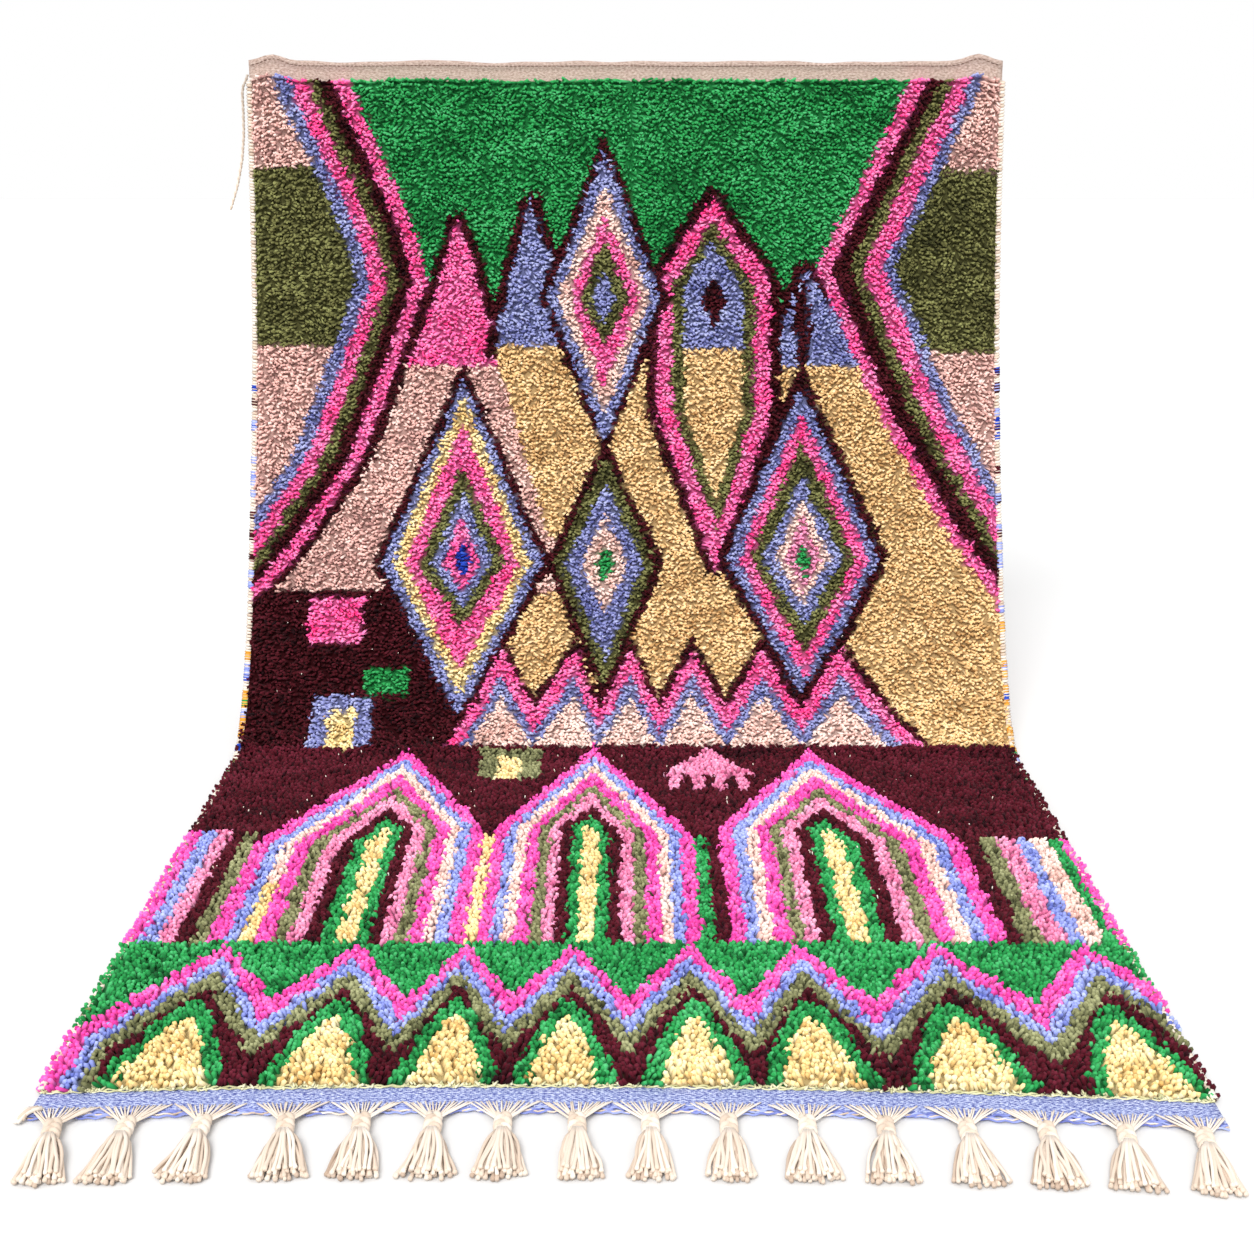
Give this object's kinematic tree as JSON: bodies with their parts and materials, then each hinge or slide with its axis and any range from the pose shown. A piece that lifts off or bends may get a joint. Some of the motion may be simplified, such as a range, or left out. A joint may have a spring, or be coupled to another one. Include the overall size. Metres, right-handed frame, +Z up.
{
  "type": "hanging pile rug",
  "caption": "Thick hand-knotted wool pile rug hung by its top edge, sweeping forward over the floor to a flat-woven foot band with knotted cotton tassels.",
  "frame": {"origin": "floor level under the middle of the rug's width and of its reach from the hung top edge to the tassel tips", "axes": "+Z up, +X to the right when looking at the pile, +Y away from the viewer, towards the hung top edge; the tassels point to -Y"},
  "size_m": [1.5588, 1.8925, 1.3029],
  "materials": {
    "pile_wool": "matte",
    "warp_cotton": "matte"
  },
  "bodies": {
    "root": {"rug": "pile_wool", "tassel_01": "warp_cotton", "tassel_02": "warp_cotton", "tassel_03": "warp_cotton", "tassel_04": "warp_cotton", "tassel_05": "warp_cotton", "tassel_06": "warp_cotton", "tassel_07": "warp_cotton", "tassel_08": "warp_cotton", "tassel_09": "warp_cotton", "tassel_10": "warp_cotton", "tassel_11": "warp_cotton", "tassel_12": "warp_cotton", "tassel_13": "warp_cotton", "tassel_14": "warp_cotton", "tassel_15": "warp_cotton", "tassel_16": "warp_cotton", "loose_thread": "warp_cotton"}
  },
  "joints": []
}
